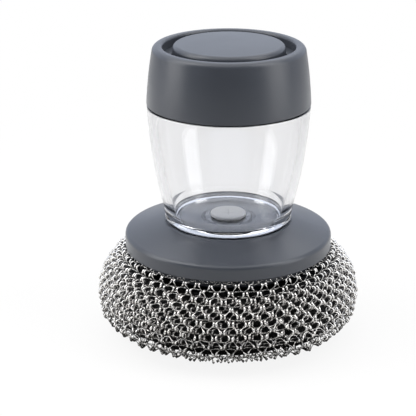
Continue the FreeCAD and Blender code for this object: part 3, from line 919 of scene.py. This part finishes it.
def coil_tree():
    """A round wire, wound in even turns."""
    tree = bpy.data.node_groups.new("wound_coil", "GeometryNodeTree")
    for label, kind in (
        ("Start", "NodeSocketGeometry"),
        ("Turns", "NodeSocketFloat"),
        ("Radius", "NodeSocketFloat"),
        ("Length", "NodeSocketFloat"),
        ("Base Level", "NodeSocketFloat"),
        ("Wire Radius", "NodeSocketFloat"),
        ("Spring Steel", "NodeSocketMaterial"),
    ):
        tree.interface.new_socket(label, in_out="INPUT", socket_type=kind)
    tree.interface.new_socket("Coil", in_out="OUTPUT", socket_type="NodeSocketGeometry")
    given = tree.nodes.new("NodeGroupInput").outputs
    result = tree.nodes.new("NodeGroupOutput")
    helix = tree.nodes.new("GeometryNodeCurveSpiral")
    helix.inputs["Resolution"].default_value = turn_points
    tree.links.new(given["Turns"], helix.inputs["Rotations"])
    tree.links.new(given["Radius"], helix.inputs["Start Radius"])
    tree.links.new(given["Radius"], helix.inputs["End Radius"])
    tree.links.new(given["Length"], helix.inputs["Height"])
    raised = add_node(tree, "ShaderNodeCombineXYZ", 0.0, 0.0, given["Base Level"])
    stood = tree.nodes.new("GeometryNodeTransform")
    tree.links.new(helix.outputs[0], stood.inputs["Geometry"])
    tree.links.new(raised.outputs[0], stood.inputs["Translation"])
    section = tree.nodes.new("GeometryNodeCurvePrimitiveCircle")
    section.inputs["Resolution"].default_value = spring_wire_sides
    tree.links.new(given["Wire Radius"], section.inputs["Radius"])
    swept = add_node(tree, "GeometryNodeCurveToMesh", stood.outputs[0], section.outputs[0])
    swept.inputs["Fill Caps"].default_value = True
    whole = add_node(tree, "GeometryNodeRealizeInstances", swept.outputs[0])
    finished = add_node(tree, "GeometryNodeSetMaterial", whole.outputs[0])
    tree.links.new(given["Spring Steel"], finished.inputs["Material"])
    tree.links.new(finished.outputs[0], result.inputs[0])
    return tree


coil_holder = bpy.data.objects.new("spring_coil", bpy.data.meshes.new("spring_coil"))
bpy.context.scene.collection.objects.link(coil_holder)
coil_mesh = grown(coil_holder, coil_tree(), {
    "Turns": float(spring_turns),
    "Radius": spring_high.x - spring_wire / 2,
    "Length": spring_length - spring_wire,
    "Base Level": spring_low.z + spring_wire / 2,
    "Wire Radius": spring_wire / 2,
    "Spring Steel": screw_steel,
})
coil = new_piece("spring_coil", coil_mesh, screw_steel, smooth_angle=60)
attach(coil, "cap")
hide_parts("return_spring")
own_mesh(coil)


# Push button
# Satin slate palm button, a cup that is its own piston, with a silicone wiper ring in its groove.
dress("push_button", slate_plastic)
dress("piston_ring", dark_silicone)


# Screw cap
# Satin slate barrel with a broad rounded rim and a recessed ledge that guides the button.
dress("cap_shell", slate_plastic)


# Floor, lights and camera
# White seamless floor, a tall softbox on each side, and a soft light from above and behind.
floor_size = 3.0
paper_tone = 0.9
bounce_tone = 0.4
mirrored_tone = 0.90
dark_tone = 0.05
paper_glow = 0.88
shadow_reach = 0.12
shade_radius = 0.040
shade_fade = 0.022
clear_half_width = 0.06
middle_tone = 0.75
side_tone = 0.68


def floor_mesh():
    """A flat square under the object, facing up."""
    half = floor_size / 2
    corners = [(-half, -half, 0), (half, -half, 0), (half, half, 0), (-half, half, 0)]
    mesh = bpy.data.meshes.new("floor")
    mesh.from_pydata(corners, [], [(0, 1, 2, 3)])
    return mesh


def floor_material():
    """White paper that keeps a soft shadow, and can be looked through from below."""
    made = bpy.data.materials.new("white_paper")
    made.use_nodes = True
    tree = made.node_tree
    tree.nodes.clear()
    paper = tree.nodes.new("ShaderNodeBsdfDiffuse")
    glow = tree.nodes.new("ShaderNodeEmission")
    ray = tree.nodes.new("ShaderNodeLightPath")
    place = add_node(tree, "ShaderNodeTexCoord").outputs["Object"]
    distance = add_node(tree, "ShaderNodeVectorMath", place, operation="LENGTH").outputs["Value"]
    # In reflections the paper is painted dark within shade_radius of the axis: a painted shadow under the
    # pad. Seen through the clear plastic it is painted grey, darker to the sides: painted shade.
    near = ranged(tree, distance, shade_radius, shade_radius + shade_fade, 0.0, 1.0)
    across = maths(tree, "ABSOLUTE", add_node(tree, "ShaderNodeSeparateXYZ", place).outputs["X"])
    through_tone = ranged(tree, across, clear_half_width, 2 * clear_half_width, middle_tone, side_tone)
    gloss_tone = ranged(tree, near, 0.0, 1.0, dark_tone, mirrored_tone)
    tone = ranged(tree, ray.outputs["Is Diffuse Ray"], 0.0, 1.0, paper_tone, bounce_tone)
    tone = ranged(tree, ray.outputs["Is Glossy Ray"], 0.0, 1.0, tone, gloss_tone)
    tone = ranged(tree, ray.outputs["Is Transmission Ray"], 0.0, 1.0, tone, through_tone)
    tree.links.new(tone, paper.inputs["Color"])
    lit = tree.nodes.new("ShaderNodeMixShader")
    shine = ranged(tree, distance, shadow_reach, 2 * shadow_reach, paper_glow, 1.0)
    tree.links.new(maths(tree, "MULTIPLY", ray.outputs["Is Camera Ray"], shine), lit.inputs[0])
    tree.links.new(paper.outputs[0], lit.inputs[1])
    tree.links.new(glow.outputs[0], lit.inputs[2])
    below = tree.nodes.new("ShaderNodeMixShader")
    tree.links.new(tree.nodes.new("ShaderNodeNewGeometry").outputs["Backfacing"], below.inputs[0])
    tree.links.new(lit.outputs[0], below.inputs[1])
    tree.links.new(tree.nodes.new("ShaderNodeBsdfTransparent").outputs[0], below.inputs[2])
    output = tree.nodes.new("ShaderNodeOutputMaterial")
    tree.links.new(below.outputs[0], output.inputs["Surface"])
    return made


floor = bpy.data.objects.new("floor", floor_mesh())
floor.data.materials.append(floor_material())
bpy.context.scene.collection.objects.link(floor)

ambient = 0.1
plain_hue = (1, 1, 1, 1)
mirrored_hue = (0.86, 0.93, 1.08, 1)
behind_from = -0.1
behind_to = 0.4
aside_from = 0.4
aside_to = 0.75
aside_share = 0.4
aside_loss = 0.7
zenith_from = 0.5
zenith_tone = 0.05
horizon_from = 0.1
horizon_to = 0.5
high_tone = 0.1

world = bpy.data.worlds.new("white_studio")
bpy.context.scene.world = world
world.use_nodes = True
world_tree = world.node_tree
backdrop = world_tree.nodes["Background"]
sight = world_tree.nodes.new("ShaderNodeLightPath").outputs
hue = mixed_colour(world_tree, sight["Is Glossy Ray"], plain_hue, mirrored_hue)
world_tree.links.new(hue, backdrop.inputs["Color"])
heading = add_node(world_tree, "ShaderNodeTexCoord").outputs["Generated"]
compass = add_node(world_tree, "ShaderNodeSeparateXYZ", heading).outputs
sideways = maths(world_tree, "ABSOLUTE", compass["X"])
height = maths(world_tree, "ABSOLUTE", compass["Z"])
aside = ranged(world_tree, sideways, aside_from, aside_to, 0.0, 1.0)
behind = ranged(world_tree, compass["Y"], behind_from, behind_to, 0.0, 1.0)
behind = maths(world_tree, "MAXIMUM", behind, maths(world_tree, "MULTIPLY", aside, aside_share))
low = ranged(world_tree, compass["Z"], zenith_from, 1.0, 1.0, zenith_tone)
mirrored = maths(world_tree, "MULTIPLY", behind, low)
mirrored = maths(world_tree, "MULTIPLY", mirrored, sight["Is Glossy Ray"])
horizon = ranged(world_tree, height, horizon_from, horizon_to, 1.0, high_tone)
ahead = maths(world_tree, "MULTIPLY_ADD", aside, -aside_loss, 1.0)
through = maths(world_tree, "MULTIPLY", horizon, ahead)
through = maths(world_tree, "MULTIPLY", through, sight["Is Transmission Ray"])
shown = maths(world_tree, "MAXIMUM", mirrored, through)
shown = maths(world_tree, "MAXIMUM", sight["Is Camera Ray"], shown)
strength = maths(world_tree, "MULTIPLY_ADD", shown, 1.0 - ambient, ambient)
world_tree.links.new(strength, backdrop.inputs["Strength"])

glass_gain = 3.0
lamp_aim = (0, 0, 0.05)
softboxes = {
    "left_softbox": {"place": (-0.55, -0.07, 0.30), "width": 0.34, "height": 1.2, "power": 3.7},
    "right_softbox": {"place": (0.53, -0.17, 0.25), "width": 0.34, "height": 1.2, "power": 3.5},
    "top_softbox": {"place": (-0.05, 0.10, 0.85), "width": 1.6, "height": 1.4, "power": 9.5},
}


def softbox(name, place, width, height, power):
    """A soft rectangular light that faces the object and shows more strongly through the clear plastic."""
    data = bpy.data.lights.new(name, "AREA")
    data.shape = "RECTANGLE"
    data.size = width
    data.size_y = height
    data.energy = power
    data.use_nodes = True
    tree = data.node_tree
    beyond_glass = tree.nodes.new("ShaderNodeLightPath").outputs["Is Transmission Ray"]
    gain = maths(tree, "MULTIPLY_ADD", beyond_glass, glass_gain, 1.0)
    tree.links.new(gain, tree.nodes["Emission"].inputs["Strength"])
    lamp = bpy.data.objects.new(name, data)
    lamp.location = place
    lamp.rotation_euler = (Vector(lamp_aim) - Vector(place)).to_track_quat("-Z", "Y").to_euler()
    bpy.context.scene.collection.objects.link(lamp)


for lamp_name, lamp_values in softboxes.items():
    softbox(lamp_name, **lamp_values)

lens_length = 126.89
camera_place = (0, -0.42628, 0.19636)
camera_pitch = 20.216
camera_yaw = 0.842
camera_data = bpy.data.cameras.new("camera")
camera_data.sensor_width = 36
camera_data.lens = lens_length
camera = bpy.data.objects.new("camera", camera_data)
camera.location = camera_place
camera.rotation_euler = (math.radians(90 - camera_pitch), 0, math.radians(camera_yaw))
bpy.context.scene.collection.objects.link(camera)
bpy.context.scene.camera = camera
bpy.context.scene.view_settings.view_transform = "Standard"
